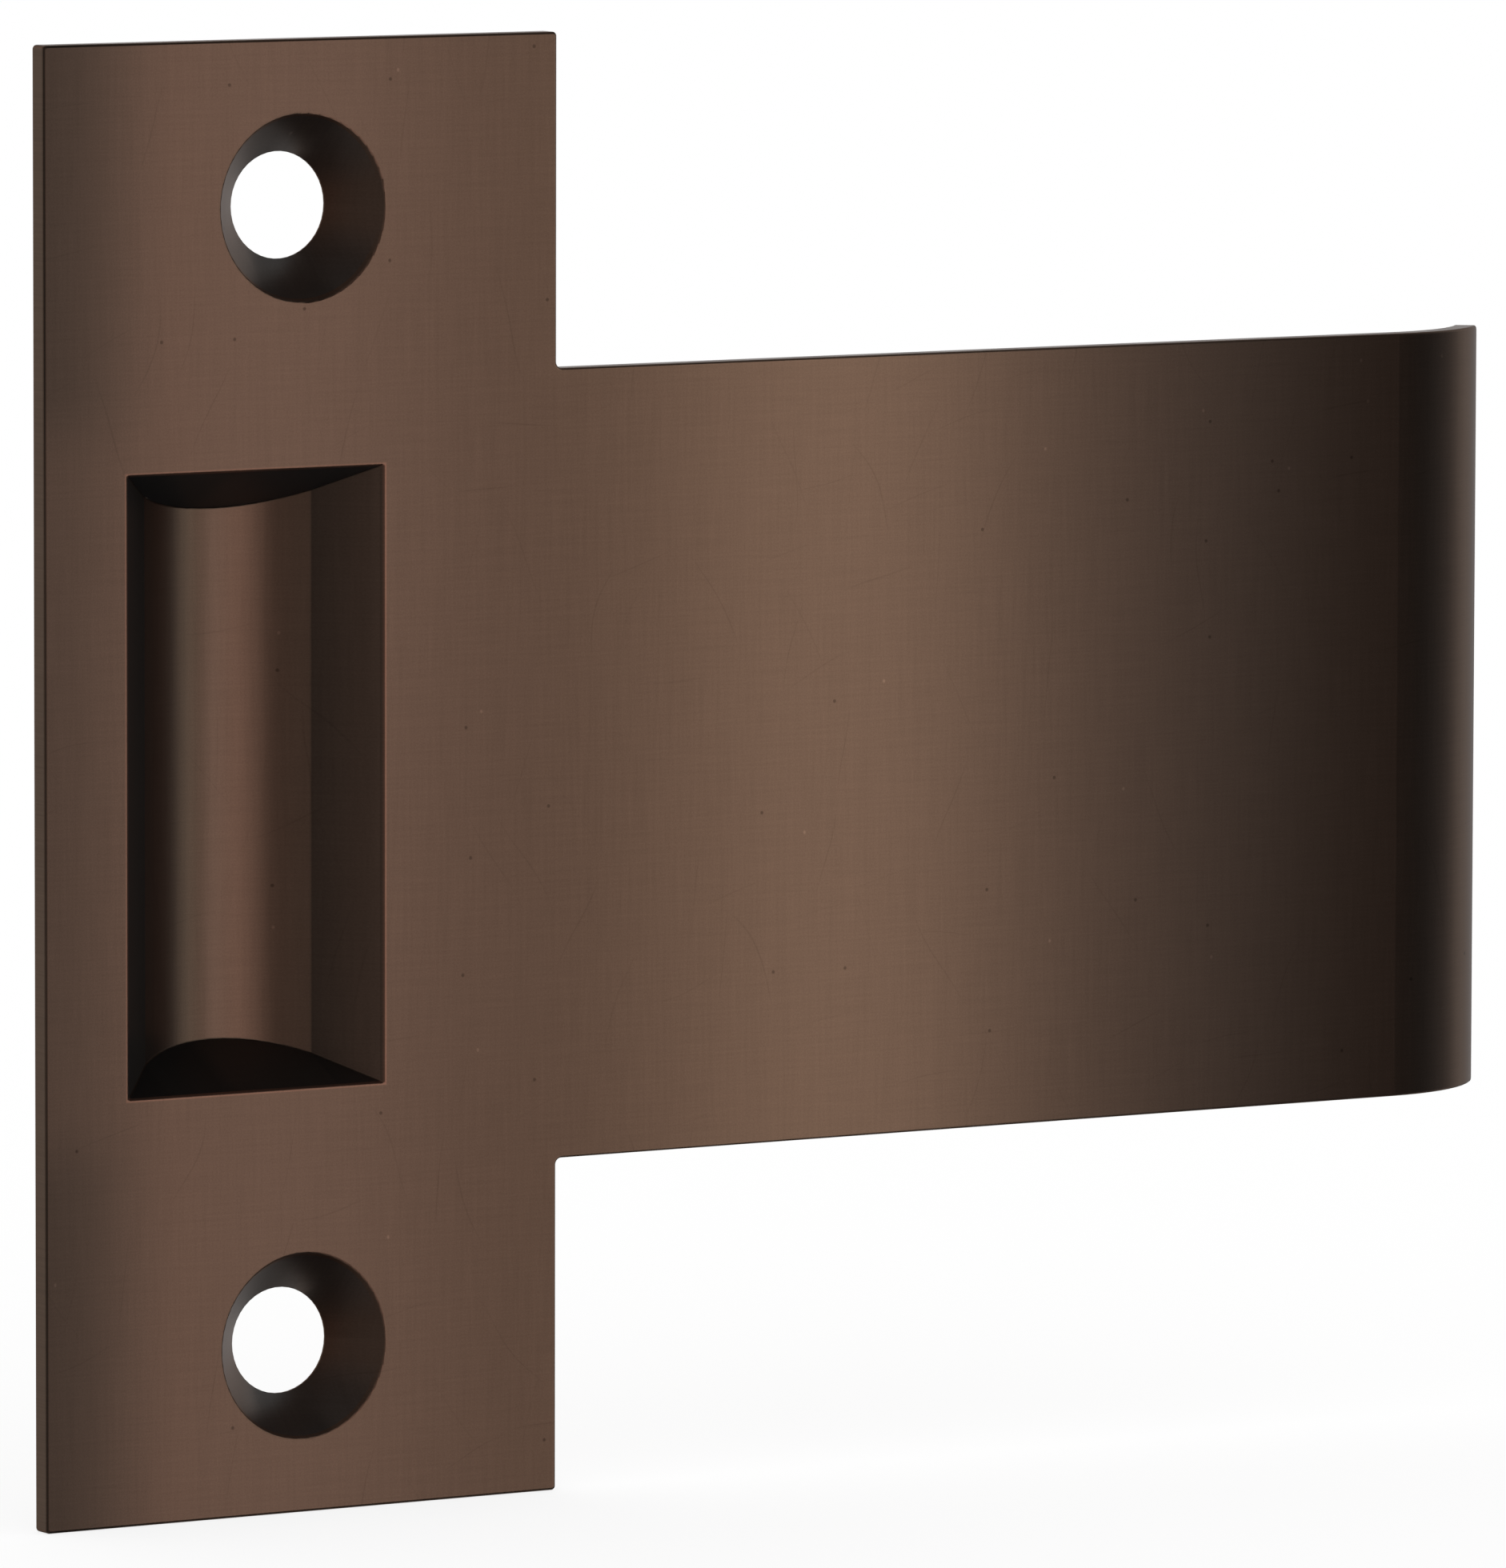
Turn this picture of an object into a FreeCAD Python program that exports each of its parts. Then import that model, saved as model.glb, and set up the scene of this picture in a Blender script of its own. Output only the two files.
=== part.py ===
import FreeCAD, Part
import math
import os

# Door strike plate pressed from one brass sheet.
# Front face towards -Y, long lip towards +X, height along Z, millimetres.
# Origin: centre between the two screw holes, on the back face of the plate.

# Sheet
SHEET = 1.14
EDGE_ROUND = 0.14

# Upright plate
PLATE_WIDTH = 27.8
PLATE_HEIGHT = 69.85
PLATE_CORNER = 0.20

# Lip, flat up to where its end curls back
LIP_HEIGHT = 37.84
LIP_FLAT_END = 62.2
LIP_CORNER = 0.28
ROOT_CORNER = 0.32
CURL_RADIUS = 8.8
CURL_TURN = 51.0

# Dimpled screw holes
HOLE_FROM_EDGE = 7.9375
HOLE_RADIUS = 2.54
COUNTERSINK_RADIUS = 4.46
COUNTERSINK_DEPTH = 2.42
HOLE_LAND = 0.10
DIMPLE_RIM_ROUND = 0.45

# Roller pocket, sizes of the hollow seen from the front
POCKET_CENTRE_X = -2.54
POCKET_MOUTH_HALF = 6.98
POCKET_HALF_HEIGHT = 14.72
POCKET_FLOOR_HALF = 4.515
POCKET_WALL_DEPTH = 2.71
POCKET_DEPTH = 4.33
POCKET_END_DRAFT = 25.8
POCKET_CREASE = 0.10
POCKET_BACK_ROUND = 0.80
BACK_ROOT_ROUND = 0.40

# Names worked out from the sizes above
FRONT_Y = -SHEET
RISE = POCKET_DEPTH - POCKET_WALL_DEPTH
FLOOR_RADIUS = (POCKET_FLOOR_HALF ** 2 + RISE ** 2) / (2 * RISE)
DRAFT_SLOPE = math.tan(math.radians(POCKET_END_DRAFT))
CONE_SLOPE = (COUNTERSINK_RADIUS - HOLE_RADIUS) / COUNTERSINK_DEPTH
RIM_DEPTH = COUNTERSINK_DEPTH + HOLE_LAND
ALONG_Z = FreeCAD.Vector(0, 0, 1)

# How far cutting shapes reach past the sheet, and tolerances for telling edges apart
CLEARANCE = 1.0
TOUCHING = 0.01
SHARP_ANGLE = 12


def at(x, depth, z=0.0):
    """A point given by its depth behind the front face."""
    return FreeCAD.Vector(x, FRONT_Y + depth, z)


def closed_face(curves):
    edges = []
    for curve in curves:
        edges.append(curve.toShape())
    return Part.Face(Part.Wire(edges))


def line(first, second):
    return Part.LineSegment(first, second)


def sharp_edges(shape, wanted):
    """Edges between faces that meet at an angle, where wanted(midpoint) holds."""
    picked = []
    for edge in shape.Edges:
        faces = shape.ancestorsOfType(edge, Part.Face)
        middle = edge.valueAt((edge.FirstParameter + edge.LastParameter) / 2)
        if len(faces) != 2 or not wanted(middle):
            continue
        normals = []
        for face in faces:
            u, v = face.Surface.parameter(middle)
            normals.append(face.normalAt(u, v))
        if math.degrees(normals[0].getAngle(normals[1])) > SHARP_ANGLE:
            picked.append(edge)
    return picked


def make_sheet():
    """The flat T-shaped sheet with its curled lip end, edges and corners rounded."""
    plate = Part.makeBox(PLATE_WIDTH, SHEET, PLATE_HEIGHT, at(-PLATE_WIDTH / 2, 0, -PLATE_HEIGHT / 2))

    half_turn = math.radians(CURL_TURN / 2)
    turn = math.radians(CURL_TURN)

    def on_curl(radius, angle):
        return at(LIP_FLAT_END + radius * math.sin(angle), CURL_RADIUS - radius * math.cos(angle))

    inner = CURL_RADIUS - SHEET
    lip_section = closed_face([
        line(at(0, 0), at(LIP_FLAT_END, 0)),
        Part.Arc(at(LIP_FLAT_END, 0), on_curl(CURL_RADIUS, half_turn), on_curl(CURL_RADIUS, turn)),
        line(on_curl(CURL_RADIUS, turn), on_curl(inner, turn)),
        Part.Arc(on_curl(inner, turn), on_curl(inner, half_turn), at(LIP_FLAT_END, SHEET)),
        line(at(LIP_FLAT_END, SHEET), at(0, SHEET)),
        line(at(0, SHEET), at(0, 0)),
    ])
    lip = lip_section.extrude(ALONG_Z * LIP_HEIGHT)
    lip.translate(ALONG_Z * (-LIP_HEIGHT / 2))
    sheet = plate.fuse(lip).removeSplitter()

    def corners_near(x, z):
        found = []
        for edge in sheet.Edges:
            middle = edge.valueAt((edge.FirstParameter + edge.LastParameter) / 2)
            across = abs(edge.tangentAt(edge.FirstParameter).z) < TOUCHING
            if across and abs(edge.Length - SHEET) < TOUCHING:
                if abs(middle.x - x) < SHEET and abs(abs(middle.z) - z) < SHEET:
                    found.append(edge)
        return found

    curl_end = on_curl(CURL_RADIUS - SHEET / 2, turn)
    for x, z, radius in [
        (-PLATE_WIDTH / 2, PLATE_HEIGHT / 2, PLATE_CORNER),
        (PLATE_WIDTH / 2, PLATE_HEIGHT / 2, PLATE_CORNER),
        (PLATE_WIDTH / 2, LIP_HEIGHT / 2, ROOT_CORNER),
        (curl_end.x, LIP_HEIGHT / 2, LIP_CORNER),
    ]:
        sheet = sheet.makeFillet(radius, corners_near(x, z))
    return sheet.makeFillet(EDGE_ROUND, sharp_edges(sheet, lambda point: True))


def trough(offset, start_depth):
    """The pocket's hollow, or with offset = SHEET the outside of its pressed wall."""
    wall_x = POCKET_FLOOR_HALF - POCKET_MOUTH_HALF
    wall_length = math.hypot(wall_x, POCKET_WALL_DEPTH)
    along = (wall_x / wall_length, POCKET_WALL_DEPTH / wall_length)
    base_x = POCKET_MOUTH_HALF + offset * along[1]
    base_depth = -offset * along[0]
    start_x = base_x + (start_depth - base_depth) * along[0] / along[1]
    centre_depth = POCKET_DEPTH - FLOOR_RADIUS
    radius = FLOOR_RADIUS + offset
    towards = base_x * along[0] + (base_depth - centre_depth) * along[1]
    apart = base_x ** 2 + (base_depth - centre_depth) ** 2
    reach = -towards + math.sqrt(towards ** 2 - apart + radius ** 2)
    crease_x = base_x + reach * along[0]
    crease_depth = base_depth + reach * along[1]

    half_height = POCKET_HALF_HEIGHT + offset / math.cos(math.radians(POCKET_END_DRAFT))
    section = closed_face([
        line(at(start_x, start_depth), at(crease_x, crease_depth)),
        Part.Arc(at(crease_x, crease_depth), at(0, POCKET_DEPTH + offset), at(-crease_x, crease_depth)),
        line(at(-crease_x, crease_depth), at(-start_x, start_depth)),
        line(at(-start_x, start_depth), at(start_x, start_depth)),
    ])
    tall = 2 * (half_height + CLEARANCE + SHEET)
    prism = section.extrude(ALONG_Z * tall)
    prism.translate(ALONG_Z * (-tall / 2))

    far = POCKET_DEPTH + offset + CLEARANCE
    start_z = half_height - start_depth * DRAFT_SLOPE
    far_z = half_height - far * DRAFT_SLOPE
    side = base_x + CLEARANCE + SHEET
    corners = [
        at(-side, start_depth, start_z),
        at(-side, far, far_z),
        at(-side, far, -far_z),
        at(-side, start_depth, -start_z),
        at(-side, start_depth, start_z),
    ]
    wedge = Part.Face(Part.makePolygon(corners)).extrude(FreeCAD.Vector(2 * side, 0, 0))
    result = prism.common(wedge).removeSplitter()
    result.translate(FreeCAD.Vector(POCKET_CENTRE_X, 0, 0))
    return result


def turned(profile, centre_z):
    """A solid turned about the screw axis from (radius, depth) corners."""
    points = []
    for radius, depth in profile:
        points.append(at(radius, depth))
    points.append(points[0])
    axis = FreeCAD.Vector(0, 1, 0)
    solid = Part.Face(Part.makePolygon(points)).revolve(FreeCAD.Vector(0, 0, 0), axis, 360)
    solid.translate(ALONG_Z * centre_z)
    return solid


def dimple_outside(centre_z):
    widening = SHEET * math.hypot(1, CONE_SLOPE)
    start = SHEET / 2
    start_radius = COUNTERSINK_RADIUS + widening - start * CONE_SLOPE
    rim_radius = COUNTERSINK_RADIUS + widening - RIM_DEPTH * CONE_SLOPE
    boss = turned([(0, start), (start_radius, start), (rim_radius, RIM_DEPTH), (0, RIM_DEPTH)], centre_z)
    rim = sharp_edges(boss, lambda point: point.y > FRONT_Y + RIM_DEPTH - TOUCHING)
    return boss.makeFillet(DIMPLE_RIM_ROUND, rim)


def dimple_inside(centre_z):
    mouth = COUNTERSINK_RADIUS + CLEARANCE * CONE_SLOPE
    through = RIM_DEPTH + CLEARANCE
    return turned([
        (0, -CLEARANCE),
        (mouth, -CLEARANCE),
        (HOLE_RADIUS, COUNTERSINK_DEPTH),
        (HOLE_RADIUS, through),
        (0, through),
    ], centre_z)


def in_plate(point):
    return abs(point.x) < PLATE_WIDTH / 2 - 2 * EDGE_ROUND and abs(point.z) < PLATE_HEIGHT / 2 - 2 * EDGE_ROUND


strike = make_sheet()
hole_height = PLATE_HEIGHT / 2 - HOLE_FROM_EDGE
hole_heights = [hole_height, -hole_height]

# Raised backs of the pocket and the dimples
pocket_back = trough(SHEET, SHEET / 2)
pocket_back = pocket_back.makeFillet(
    POCKET_BACK_ROUND, sharp_edges(pocket_back, lambda point: point.y > FRONT_Y + SHEET / 2 + TOUCHING))
strike = strike.fuse(pocket_back)
for height in hole_heights:
    strike = strike.fuse(dimple_outside(height))
strike = strike.removeSplitter()
strike = strike.makeFillet(
    BACK_ROOT_ROUND, sharp_edges(strike, lambda point: abs(point.y) < TOUCHING and in_plate(point)))

# Hollows seen from the front
pocket_hollow = trough(0, -CLEARANCE)
creases = sharp_edges(pocket_hollow, lambda point: point.y > FRONT_Y - CLEARANCE + TOUCHING)
pocket_hollow = pocket_hollow.makeFillet(POCKET_CREASE, creases)
strike = strike.cut(pocket_hollow)
for height in hole_heights:
    strike = strike.cut(dimple_inside(height))

# Rounded mouths of the pocket and the countersinks
strike = strike.makeFillet(
    EDGE_ROUND, sharp_edges(strike, lambda point: abs(point.y - FRONT_Y) < TOUCHING and in_plate(point)))

os.makedirs("parts", exist_ok=True)
strike.exportStep("parts/strike_plate.step")
print("solids", len(strike.Solids), "valid", strike.isValid(), "volume mm3", round(strike.Volume, 1))
print("box", strike.BoundBox)
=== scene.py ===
import math
import bpy
from mathutils import Matrix, Vector


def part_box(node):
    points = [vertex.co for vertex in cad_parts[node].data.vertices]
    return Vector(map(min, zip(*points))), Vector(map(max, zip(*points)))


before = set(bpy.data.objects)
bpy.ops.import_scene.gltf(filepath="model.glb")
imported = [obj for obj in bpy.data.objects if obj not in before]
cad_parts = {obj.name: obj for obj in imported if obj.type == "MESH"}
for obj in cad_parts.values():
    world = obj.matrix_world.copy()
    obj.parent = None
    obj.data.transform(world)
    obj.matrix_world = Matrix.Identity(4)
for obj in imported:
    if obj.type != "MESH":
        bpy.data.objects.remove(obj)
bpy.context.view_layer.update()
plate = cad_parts["strike_plate"]
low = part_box("strike_plate")[0]

MM = 0.001


def srgb(red, green, blue):
    """A colour written as 0 to 255 values, as the linear values that shaders take."""
    values = []
    for channel in (red, green, blue):
        share = channel / 255
        values.append(share / 12.92 if share <= 0.04045 else ((share + 0.055) / 1.055) ** 2.4)
    return (*values, 1.0)


class Nodes:
    """Short calls for adding and linking nodes in one node tree."""

    def __init__(self, tree):
        self.tree = tree

    def add(self, kind, inputs=None, **settings):
        node = self.tree.nodes.new(kind)
        for name, value in settings.items():
            setattr(node, name, value)
        for name, value in (inputs or {}).items():
            self.put(value, node.inputs[name])
        return node

    def put(self, value, socket):
        if isinstance(value, bpy.types.NodeSocket):
            self.tree.links.new(value, socket)
        else:
            socket.default_value = value

    def math(self, operation, *values):
        node = self.add("ShaderNodeMath", operation=operation)
        for place, value in enumerate(values):
            self.put(value, node.inputs[place])
        return node.outputs[0]

    def mix(self, share, first, second):
        """The colour between two colours."""
        node = self.add("ShaderNodeMix", data_type="RGBA")
        self.put(share, node.inputs["Factor"])
        self.put(first, node.inputs["A"])
        self.put(second, node.inputs["B"])
        return node.outputs["Result"]

    def ramp(self, share, stops, interpolation="LINEAR"):
        """A grey or coloured ramp through (position, value) stops."""
        node = self.add("ShaderNodeValToRGB", {"Fac": share})
        node.color_ramp.interpolation = interpolation
        elements = node.color_ramp.elements
        elements.remove(elements[1])
        for place, (position, value) in enumerate(stops):
            element = elements[0] if place == 0 else elements.new(position)
            element.position = position
            element.color = value if isinstance(value, tuple) else (value, value, value, 1.0)
        return node.outputs["Color"]

    def along(self, distance, stops):
        """A grey ramp through (distance, value) stops."""
        start = stops[0][0]
        reach = stops[-1][0] - start
        share = self.math("DIVIDE", self.math("SUBTRACT", distance, start), reach)
        return self.ramp(share, [((place - start) / reach, value) for place, value in stops])

    def stretched(self, coordinates, scale, turn=0.0):
        """Coordinates on the face after a turn and a scale along each axis."""
        turned = self.add("ShaderNodeVectorRotate", {"Vector": coordinates, "Angle": turn},
                          rotation_type="Z_AXIS")
        node = self.add("ShaderNodeVectorMath", {0: turned.outputs["Vector"], 1: scale}, operation="MULTIPLY")
        return node.outputs["Vector"]

    def shade(self, level, factor, where=1.0):
        """A brightness times a factor in the places where a mask is 1."""
        change = self.math("MULTIPLY_ADD", where, self.math("SUBTRACT", factor, 1.0), 1.0)
        return self.math("MULTIPLY", level, change)

    def noise(self, coordinates, scale, detail, roughness=0.55):
        node = self.add("ShaderNodeTexNoise", {"Vector": coordinates, "Scale": scale, "Detail": detail,
                                               "Roughness": roughness}, noise_dimensions="2D")
        return node.outputs["Fac"]


# Camera
CAMERA_AT = Vector((-0.343178, -0.599386, 0.069004))
CAMERA_TURN = math.radians(31.6015)
CAMERA_DOWN = math.radians(5.7315)
CAMERA_ROLL = math.radians(0.1345)
SENSOR = 36.0
LENS = 337.18
CLIP_NEAR = 0.05
CLIP_FAR = 20.0


def add_camera():
    """A camera at the photo's viewing angle."""
    data = bpy.data.cameras.new("camera")
    data.sensor_fit = "VERTICAL"
    data.sensor_height = SENSOR
    data.lens = LENS
    data.clip_start = CLIP_NEAR
    data.clip_end = CLIP_FAR
    camera = bpy.data.objects.new("camera", data)
    bpy.context.scene.collection.objects.link(camera)
    turn = Matrix.Rotation(-CAMERA_TURN, 4, "Z")
    tilt = Matrix.Rotation(math.pi / 2 - CAMERA_DOWN, 4, "X")
    roll = Matrix.Rotation(CAMERA_ROLL, 4, "Z")
    camera.matrix_world = Matrix.Translation(CAMERA_AT) @ turn @ tilt @ roll
    bpy.context.scene.camera = camera


# Studio
# The room that the metal mirrors: white behind the plate as the camera sees it, and dim in front of it,
# by degrees from -Y towards +X: brightness, share of red, share of blue
ROOM = [(-180, 1.0, 1.0, 1.0), (-162, 1.0, 1.0, 1.0), (-150, 0.38, 0.7, 1.15), (-100, 0.27, 1.0, 1.0),
        (-65, 0.12, 0.9, 1.1), (-40, 0.23, 1.0, 1.0), (-25, 0.16, 1.05, 1.0), (8, 0.28, 1.05, 1.0),
        (30, 0.02, 1.0, 1.0), (60, 0.04, 0.65, 1.25), (84, 0.18, 0.8, 1.2), (105, 0.92, 0.8, 1.15),
        (130, 0.75, 1.0, 1.0), (150, 1.0, 1.0, 1.0), (180, 1.0, 1.0, 1.0)]
# Brightness of the same room by the sine of the height above the horizon, ahead of the plate and behind it
HEIGHT_AHEAD = [(-1.0, 0.9), (-0.4, 0.9), (-0.1, 1.0), (0.1, 1.0), (0.4, 0.9), (0.85, 0.5), (1.0, 0.45)]
HEIGHT_BEHIND = [(-1.0, 0.35), (-0.7, 0.38), (-0.5, 0.5), (-0.1, 1.0), (0.28, 1.0), (0.5, 0.35),
                 (1.0, 0.35)]
# Y of the direction at which the room ahead has passed into the room behind
BEHIND_FROM = 0.3
SOFTBOX_AWAY = 60 * MM
SOFTBOX_TURN = math.radians(31)
SOFTBOX_LEFT = -65 * MM
SOFTBOX_RIGHT = 52 * MM
SOFTBOX_BOTTOM = -60 * MM
SOFTBOX_TOP = 52 * MM
# Across the softbox, by millimetres from the line that leaves the origin at SOFTBOX_TURN:
# brightness, share of red, share of blue
SOFTBOX = [(-65, 0.0, 1.05, 1.0), (-50, 0.27, 1.08, 1.0), (-40, 0.29, 1.12, 1.0), (-24, 0.5, 1.1, 1.0),
           (-13, 0.46, 1.02, 1.02), (-4, 0.93, 1.0, 1.03), (10, 0.27, 1.0, 0.98), (26, 1.2, 0.98, 0.96),
           (38, 0.34, 0.93, 1.06), (45, 0.17, 0.78, 1.18), (52, 0.0, 0.75, 1.2)]
# How much brighter its top is than its bottom
SOFTBOX_UPWARDS = 0.12
# Half the floor's side, its distance below the plate, and the share of the plate's shadow that it shows
FLOOR_RADIUS = 6.0
FLOOR_GAP = 0.02 * MM
SHADOW_KEPT = 0.2


def tinted(brightness, red, blue):
    """A brightness as a colour, with its shares of red and blue."""
    return (brightness * red, brightness, brightness * blue, 1.0)


def add_world():
    """White for the camera and for soft light, while the metal mirrors the room."""
    world = bpy.data.worlds.new("studio")
    world.use_nodes = True
    bpy.context.scene.world = world
    world.node_tree.nodes.clear()
    nodes = Nodes(world.node_tree)
    direction = nodes.add("ShaderNodeTexCoord").outputs["Generated"]
    parts = nodes.add("ShaderNodeSeparateXYZ", {"Vector": direction}).outputs
    turn = nodes.math("ARCTAN2", parts["X"], nodes.math("MULTIPLY", parts["Y"], -1.0))
    around = nodes.math("MULTIPLY_ADD", turn, 1 / (2 * math.pi), 0.5)
    room = nodes.ramp(around, [(degrees / 360 + 0.5, tinted(*light)) for degrees, *light in ROOM])
    up = nodes.math("MULTIPLY_ADD", parts["Z"], 0.5, 0.5)
    ahead = nodes.ramp(up, [(sine / 2 + 0.5, value) for sine, value in HEIGHT_AHEAD], "EASE")
    behind = nodes.ramp(up, [(sine / 2 + 0.5, value) for sine, value in HEIGHT_BEHIND], "EASE")
    height = nodes.mix(nodes.ramp(parts["Y"], [(0.0, 0.0), (BEHIND_FROM, 1.0)]), ahead, behind)
    seen = nodes.add("ShaderNodeVectorMath", {0: room, "Scale": height}, operation="SCALE").outputs["Vector"]
    glossy = nodes.add("ShaderNodeLightPath").outputs["Is Glossy Ray"]
    colour = nodes.mix(glossy, (1, 1, 1, 1), seen)
    background = nodes.add("ShaderNodeBackground", {"Color": colour, "Strength": 1.0})
    output = nodes.add("ShaderNodeOutputWorld")
    nodes.put(background.outputs[0], output.inputs["Surface"])


def add_softbox():
    """A wide panel in front, mirrored by the plate's face, that fades out towards both ends."""
    width = SOFTBOX_RIGHT - SOFTBOX_LEFT
    tall = SOFTBOX_TOP - SOFTBOX_BOTTOM
    data = bpy.data.lights.new("softbox", "AREA")
    data.shape = "RECTANGLE"
    data.size = width
    data.size_y = tall
    data.energy = math.pi * width * tall
    data.use_nodes = True
    data.node_tree.nodes.clear()
    nodes = Nodes(data.node_tree)
    parametric = nodes.add("ShaderNodeNewGeometry").outputs["Parametric"]
    place_on = nodes.add("ShaderNodeSeparateXYZ", {"Vector": parametric}).outputs
    stops = []
    for place, *light in SOFTBOX:
        stops.append(((place * MM - SOFTBOX_LEFT) / width, tinted(*light)))
    upwards = nodes.math("MULTIPLY_ADD", place_on["Y"], SOFTBOX_UPWARDS, 1 - SOFTBOX_UPWARDS / 2)
    bands = nodes.ramp(place_on["X"], stops, "EASE")
    emission = nodes.add("ShaderNodeEmission", {"Color": bands, "Strength": upwards})
    output = nodes.add("ShaderNodeOutputLight")
    nodes.put(emission.outputs[0], output.inputs["Surface"])
    softbox = bpy.data.objects.new("softbox", data)
    bpy.context.scene.collection.objects.link(softbox)
    sideways = Vector((math.cos(SOFTBOX_TURN), math.sin(SOFTBOX_TURN), 0))
    outwards = Vector((math.sin(SOFTBOX_TURN), -math.cos(SOFTBOX_TURN), 0))
    centre = outwards * SOFTBOX_AWAY + sideways * (SOFTBOX_LEFT + SOFTBOX_RIGHT) / 2
    centre.z = (SOFTBOX_BOTTOM + SOFTBOX_TOP) / 2
    softbox.matrix_world = Matrix.Translation(centre) @ Matrix((
        (sideways.x, 0, outwards.x, 0),
        (sideways.y, 0, outwards.y, 0),
        (0, 1, 0, 0),
        (0, 0, 0, 1),
    ))
    softbox.visible_camera = False
    lit = bpy.data.collections.new("lit_by_softbox")
    lit.objects.link(plate)
    softbox.light_linking.receiver_collection = lit


def add_floor():
    """A white floor that shows the camera only a share of the plate's shadow."""
    data = bpy.data.meshes.new("floor")
    corners = [(-1, -1), (1, -1), (1, 1), (-1, 1)]
    level = low.z - FLOOR_GAP
    data.from_pydata([(x * FLOOR_RADIUS, y * FLOOR_RADIUS, level) for x, y in corners], [], [(0, 1, 2, 3)])
    floor = bpy.data.objects.new("floor", data)
    bpy.context.scene.collection.objects.link(floor)
    material = bpy.data.materials.new("floor")
    material.use_nodes = True
    material.node_tree.nodes.clear()
    nodes = Nodes(material.node_tree)
    shadowed = nodes.add("ShaderNodeBsdfDiffuse", {"Color": (1, 1, 1, 1)})
    white = nodes.add("ShaderNodeEmission", {"Color": (1, 1, 1, 1), "Strength": 1.0})
    camera_ray = nodes.add("ShaderNodeLightPath").outputs["Is Camera Ray"]
    both = nodes.add("ShaderNodeMixShader", {"Fac": nodes.math("MULTIPLY", camera_ray, 1 - SHADOW_KEPT)})
    nodes.put(shadowed.outputs[0], both.inputs[1])
    nodes.put(white.outputs[0], both.inputs[2])
    output = nodes.add("ShaderNodeOutputMaterial")
    nodes.put(both.outputs[0], output.inputs["Surface"])
    data.materials.append(material)
    floor.visible_glossy = False


# Dark brushed bronze
BRONZE = srgb(120, 94, 79)
# A lighter tone along the pocket's rim: painted highlight, and wear
LIT_WORN_EDGE = srgb(146, 108, 90)
# The greyer tone that the bronze turns towards where shade is painted on it
PAINTED_SHADE_TONE = srgb(104, 94, 84)
# A cool grey tint
COOL_GREY = srgb(74, 98, 104)
GRAZING_TINT = (0.46, 0.46, 0.46, 1.0)
ROUGHNESS = 0.276
ROUGHNESS_CHANGE = 0.02
SHEEN = 0.021
SHEEN_ROUGHNESS = 0.5

# Brushing along the height, broad and cross brushing and grain: repeats per millimetre across and up,
# and how much each changes the brightness
BRUSH_SCALE = (5.0, 0.22, 1.0)
BRUSH_ROUGHNESS = 0.65
BRUSH_CHANGE = 0.16
BRUSH_LOWEST = 0.95
BROAD_SCALE = (1.1, 0.05, 1.0)
BROAD_CHANGE = 0.06
CROSS_SCALE = (0.25, 7.0, 1.0)
CROSS_CHANGE = 0.12
GRAIN_SCALE = 12.0
GRAIN_CHANGE = 0.22
RELIEF = 0.0012 * MM
CROSS_RELIEF = 0.4

# Scratches in three directions: the turn in radians, in millimetres the width of a lane and the length and
# width of a scratch, and the share of places that have one
SCRATCHES = [(0.25, 2.6, 5.0, 0.05, 0.35), (-0.5, 3.4, 6.0, 0.05, 0.30), (1.35, 3.0, 4.0, 0.045, 0.25)]
SCRATCH_SHADE = 0.87
# How far scratches bend in millimetres, over how many bends per millimetre
SCRATCH_BEND = 5.0
BENDS = 0.07
# Up to how many lengths a lane is shifted by, and as shares, the free edge of a lane and a scratch's core
LANE_SHIFT = 9.0
LANE_MARGIN = 0.1
SCRATCH_CORE = 0.3

# Specks: in millimetres their spacing and size, and the share of places that have one
DARK_SPECKS = (4.2, 0.11, 0.22)
DARK_SPECK = 0.58
LIGHT_SPECKS = (4.6, 0.09, 0.16)
LIGHT_SPECK_STRETCH = (1.0, 0.8, 1.0)
LIGHT_SPECK = 1.4

# Places on the plate, in millimetres
POCKET_X = -2.54
POCKET_HALF_WIDTH = 6.98
POCKET_HALF_HEIGHT = 14.72
HOLLOW_START = -0.95
PLATE_RIGHT = 13.9
# Y of the normal below which a surface belongs to the front face, or to the inside of a hollow
FRONT_FACING = -0.5
HOLLOW_FACING = -0.2

# Painted shade, as a share of the brightness: darker inwards from the plate's left edge over the width below,
# and how fully it shows beside the pocket and, over the same width, above and below it
SHADED_EDGE_WIDTH = 7.5
EDGE_SHADE = [(0.0, 0.55), (1.0, 1.0)]
BESIDE_POCKET = [(0.0, 0.65), (0.6, 1.0)]
# Painted shade and highlight in the pocket, by millimetres from the plate's middle, and painted shade on its
# end walls by how far they face up or down
POCKET_SHADING = [(-9.6, 0.5), (-7.2, 0.5), (-6.9, 0.65), (-5.6, 0.64), (-4.1, 0.61), (-3.2, 0.92),
                 (-1.9, 1.0), (1.9, 1.0), (2.0, 0.8), (2.8, 0.9), (3.9, 1.05), (4.4, 1.25), (4.6, 1.0)]
END_WALL_SHADE = [(0.1, 1.0), (0.6, 0.5)]
# Share of a cool grey tint along the left of the pocket's floor, and in the holes by how far they face up or
# down
POCKET_COOL_GREY = [(-7.1, 0.0), (-6.8, 0.18), (-5.8, 0.15), (-4.4, 0.0)]
HOLE_COOL_GREY = [(0.2, 0.0), (0.7, 0.35)]
# Painted highlight and wear along the pocket's rim, in millimetres to each side
LIT_RIM_WIDTH = 0.11


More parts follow.
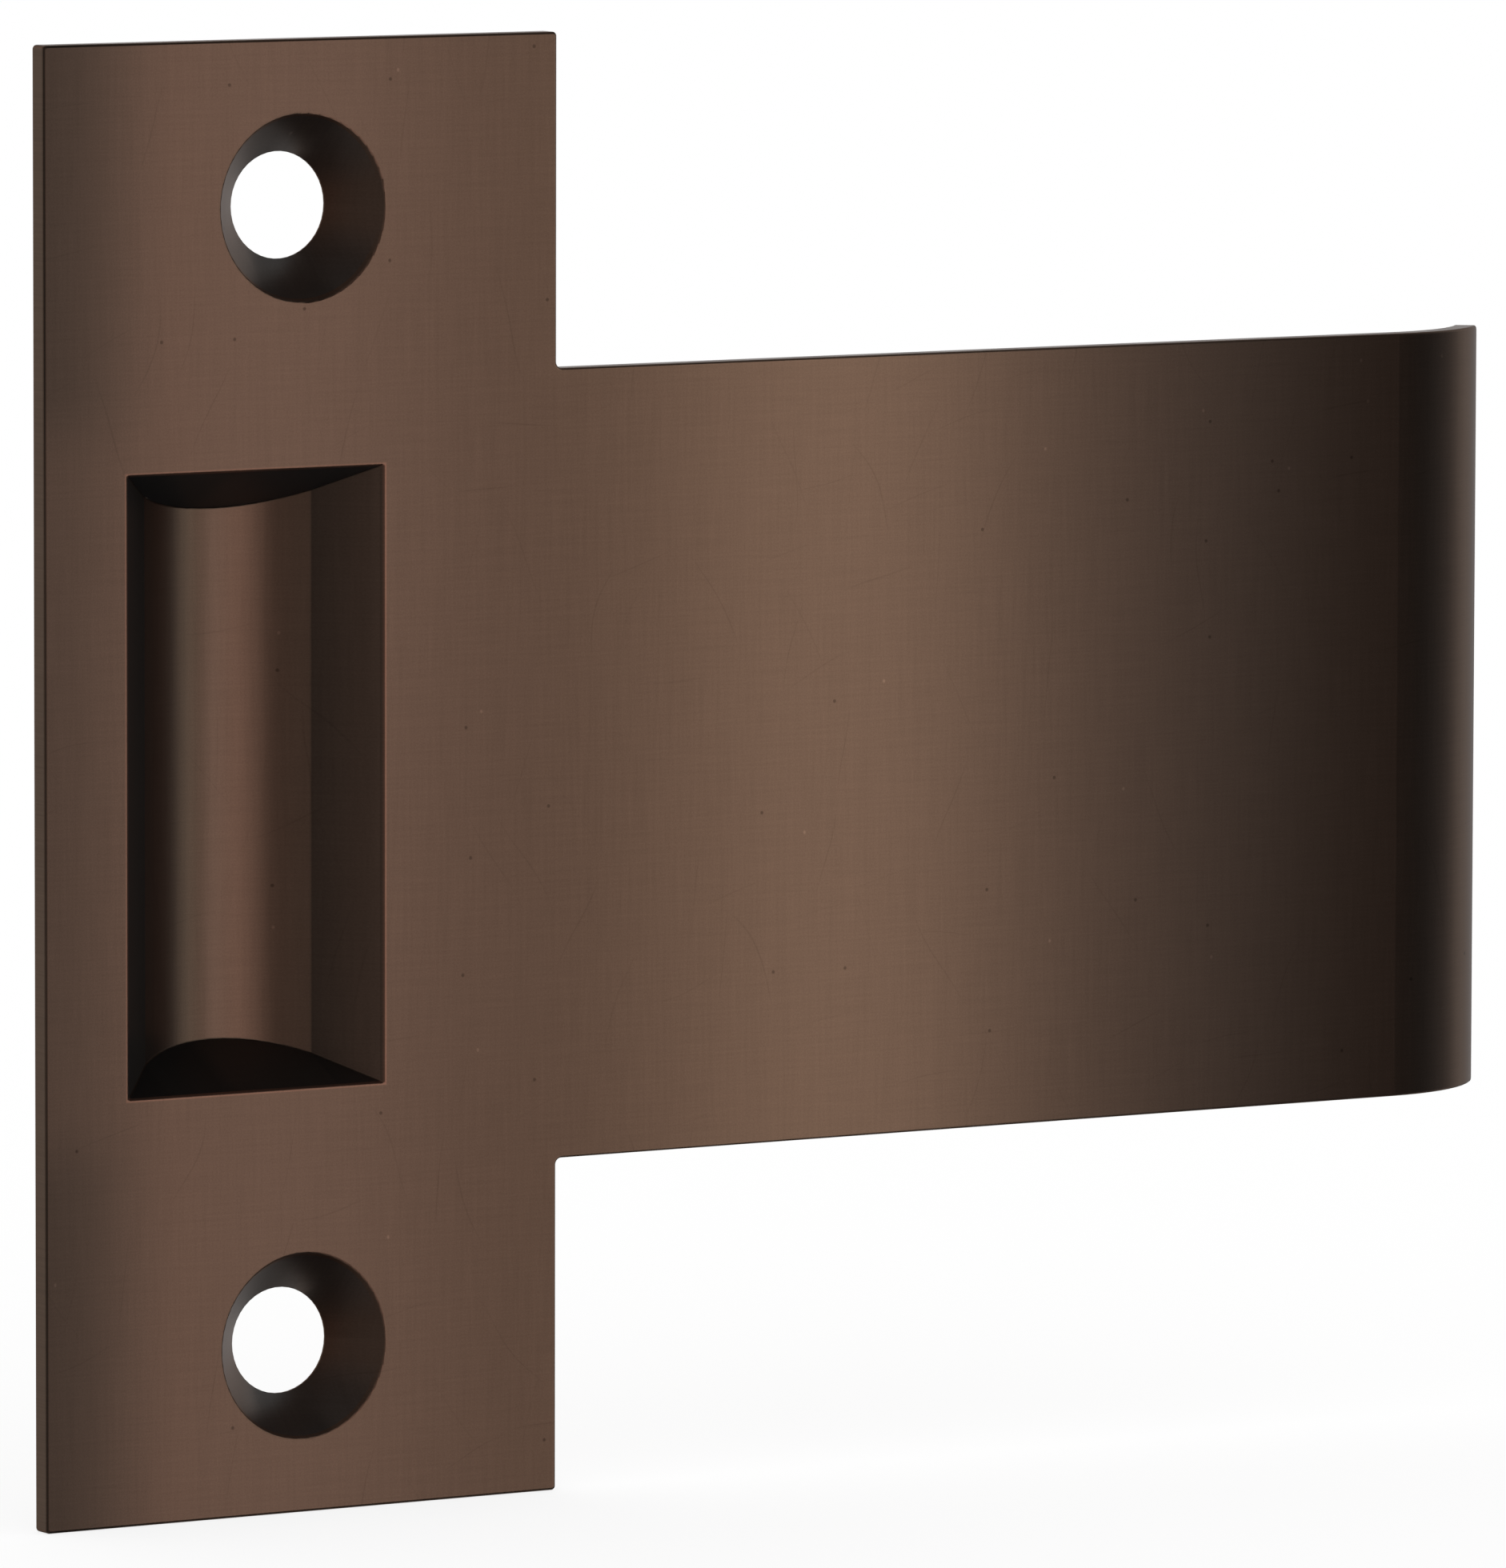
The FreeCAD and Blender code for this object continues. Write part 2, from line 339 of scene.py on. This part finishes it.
def scratches(nodes, face, turn, lane, length, width, share):
    """Thin, slightly bent scratches in lanes along one direction, fading out at both ends."""
    turned = nodes.stretched(face, (1.0, 1.0, 1.0), turn)
    place = nodes.add("ShaderNodeSeparateXYZ", {"Vector": turned}).outputs
    bend = nodes.math("MULTIPLY", nodes.noise(turned, BENDS, detail=1.0), SCRATCH_BEND / lane)
    across = nodes.math("ADD", nodes.math("DIVIDE", place["X"], lane), bend)
    row = nodes.math("FLOOR", across)
    start = nodes.add("ShaderNodeTexWhiteNoise", {"W": row}, noise_dimensions="1D").outputs["Value"]
    shift = nodes.math("MULTIPLY", start, LANE_SHIFT)
    along = nodes.math("ADD", nodes.math("DIVIDE", place["Y"], length), shift)
    cell = nodes.add("ShaderNodeCombineXYZ", {"X": row, "Y": nodes.math("FLOOR", along)}).outputs["Vector"]
    pick = nodes.add("ShaderNodeTexWhiteNoise", {"Vector": cell}, noise_dimensions="2D").outputs["Color"]
    random = nodes.add("ShaderNodeSeparateColor", {"Color": pick}).outputs
    middle = nodes.math("MULTIPLY_ADD", random["Red"], 1 - 2 * LANE_MARGIN, LANE_MARGIN)
    away = nodes.math("ABSOLUTE", nodes.math("SUBTRACT", nodes.math("FRACT", across), middle))
    line = nodes.ramp(away, [(SCRATCH_CORE * width / lane, 1.0), (width / lane, 0.0)])
    part = nodes.math("FRACT", along)
    hump = nodes.math("MULTIPLY", part, nodes.math("SUBTRACT", 1.0, part))
    # The hump reaches a quarter in the middle
    fade = nodes.math("MULTIPLY", hump, 4.0)
    shown = nodes.math("LESS_THAN", random["Green"], share)
    strength = nodes.math("MULTIPLY", nodes.math("MULTIPLY", fade, shown), random["Blue"])
    return nodes.math("MULTIPLY", line, strength)


def specks(nodes, face, spacing, size, share):
    """Small round specks, one in each of a share of the cells."""
    grid = nodes.add("ShaderNodeTexVoronoi", {"Vector": face, "Scale": 1 / spacing}, voronoi_dimensions="2D")
    pick = nodes.add("ShaderNodeSeparateColor", {"Color": grid.outputs["Color"]}).outputs["Red"]
    dot = nodes.ramp(grid.outputs["Distance"], [(0.5 * size / spacing, 1.0), (size / spacing, 0.0)])
    return nodes.math("MULTIPLY", dot, nodes.math("LESS_THAN", pick, share))


def bronze():
    """Brushed bronze with scratches and specks, painted shade and highlight by place, and a lighter worn
    pocket rim with a painted highlight.
    """
    material = bpy.data.materials.new("bronze")
    material.use_nodes = True
    material.node_tree.nodes.clear()
    nodes = Nodes(material.node_tree)
    coordinates = nodes.add("ShaderNodeTexCoord").outputs
    place = nodes.add("ShaderNodeSeparateXYZ", {"Vector": coordinates["Object"]}).outputs
    facing = nodes.add("ShaderNodeSeparateXYZ", {"Vector": coordinates["Normal"]}).outputs
    across = nodes.math("DIVIDE", place["X"], MM)
    upwards = nodes.math("DIVIDE", place["Z"], MM)
    face = nodes.add("ShaderNodeCombineXYZ", {"X": across, "Y": upwards}).outputs["Vector"]
    brush = nodes.noise(nodes.stretched(face, BRUSH_SCALE), 1.0, detail=3.0, roughness=BRUSH_ROUGHNESS)
    broad = nodes.noise(nodes.stretched(face, BROAD_SCALE), 1.0, detail=2.0)
    cross = nodes.noise(nodes.stretched(face, CROSS_SCALE), 1.0, detail=2.0)
    grain = nodes.noise(face, GRAIN_SCALE, detail=1.0)

    scratch = 0.0
    for direction in SCRATCHES:
        scratch = nodes.math("MAXIMUM", scratch, scratches(nodes, face, *direction))
    dark = specks(nodes, face, *DARK_SPECKS)
    light = specks(nodes, nodes.stretched(face, LIGHT_SPECK_STRETCH), *LIGHT_SPECKS)

    level = nodes.math("MULTIPLY_ADD", brush, BRUSH_CHANGE, BRUSH_LOWEST)
    for pattern, change in ((broad, BROAD_CHANGE), (cross, CROSS_CHANGE), (grain, GRAIN_CHANGE)):
        level = nodes.shade(level, nodes.math("MULTIPLY_ADD", pattern, change, 1 - change / 2))
    for marks, factor in ((scratch, SCRATCH_SHADE), (dark, DARK_SPECK), (light, LIGHT_SPECK)):
        level = nodes.shade(level, factor, marks)

    # Painted shade: darker towards the plate's left edge, less so beside the pocket
    inwards = nodes.math("DIVIDE", nodes.math("SUBTRACT", across, low.x / MM), SHADED_EDGE_WIDTH)
    edge = nodes.ramp(inwards, EDGE_SHADE, "EASE")
    height = nodes.math("ABSOLUTE", upwards)
    past_end = nodes.math("SUBTRACT", height, POCKET_HALF_HEIGHT)
    fullness = nodes.ramp(nodes.math("DIVIDE", past_end, SHADED_EDGE_WIDTH), BESIDE_POCKET, "EASE")
    front = nodes.math("LESS_THAN", facing["Y"], FRONT_FACING)
    painted_shading = nodes.shade(1.0, edge, nodes.math("MULTIPLY", front, fullness))
    inside = nodes.math("MULTIPLY", nodes.math("GREATER_THAN", place["Y"], HOLLOW_START * MM),
                        nodes.math("LESS_THAN", facing["Y"], HOLLOW_FACING))
    hollow = nodes.math("MULTIPLY", inside, nodes.math("LESS_THAN", across, PLATE_RIGHT))
    in_pocket = nodes.math("MULTIPLY", hollow, nodes.math("LESS_THAN", height, POCKET_HALF_HEIGHT))
    in_holes = nodes.math("SUBTRACT", hollow, in_pocket)
    # Painted shade on the pocket's end walls, and painted shade and highlight across the pocket
    steepness = nodes.math("ABSOLUTE", facing["Z"])
    painted_shading = nodes.shade(painted_shading, nodes.ramp(steepness, END_WALL_SHADE), in_pocket)
    painted_shading = nodes.shade(painted_shading, nodes.along(across, POCKET_SHADING), in_pocket)
    # A cool grey tint along the left of the pocket's floor and on the holes' faces that face up or down
    hole_share = nodes.math("MULTIPLY", nodes.ramp(steepness, HOLE_COOL_GREY), in_holes)
    cool_grey = nodes.math("MULTIPLY_ADD", nodes.along(across, POCKET_COOL_GREY), in_pocket, hole_share)

    # A lighter rim around the pocket: painted highlight, and wear
    from_middle = nodes.math("ABSOLUTE", nodes.math("SUBTRACT", across, POCKET_X))
    past_side = nodes.math("SUBTRACT", from_middle, POCKET_HALF_WIDTH)
    from_rim = nodes.math("ABSOLUTE", nodes.math("MAXIMUM", past_side, past_end))
    lit_worn_rim = nodes.ramp(nodes.math("DIVIDE", from_rim, LIT_RIM_WIDTH), [(0.5, 1.0), (1.0, 0.0)])
    # Where shade is painted the bronze turns greyer and darker, and where a highlight is painted it turns
    # lighter
    metal = nodes.mix(cool_grey, nodes.mix(painted_shading, PAINTED_SHADE_TONE, BRONZE), COOL_GREY)
    colour = nodes.mix(lit_worn_rim, metal, LIT_WORN_EDGE)
    shade = nodes.add("ShaderNodeVectorMath", {0: colour, "Scale": nodes.math("MULTIPLY", level, painted_shading)},
                      operation="SCALE")

    relief = nodes.math("MULTIPLY_ADD", cross, CROSS_RELIEF, brush)
    bump = nodes.add("ShaderNodeBump", {"Height": relief, "Strength": 1.0, "Distance": RELIEF})
    shader = nodes.add("ShaderNodeBsdfPrincipled", {
        "Base Color": shade.outputs[0],
        "Metallic": 1.0,
        "Roughness": nodes.math("MULTIPLY_ADD", brush, ROUGHNESS_CHANGE, ROUGHNESS),
        "Specular Tint": GRAZING_TINT,
        "Sheen Weight": SHEEN,
        "Sheen Roughness": SHEEN_ROUGHNESS,
        "Normal": bump.outputs[0],
    })
    output = nodes.add("ShaderNodeOutputMaterial")
    nodes.put(shader.outputs[0], output.inputs["Surface"])
    return material


add_camera()
add_world()
add_softbox()
add_floor()
plate.data.materials.clear()
plate.data.materials.append(bronze())
bpy.context.scene.view_settings.view_transform = "Standard"
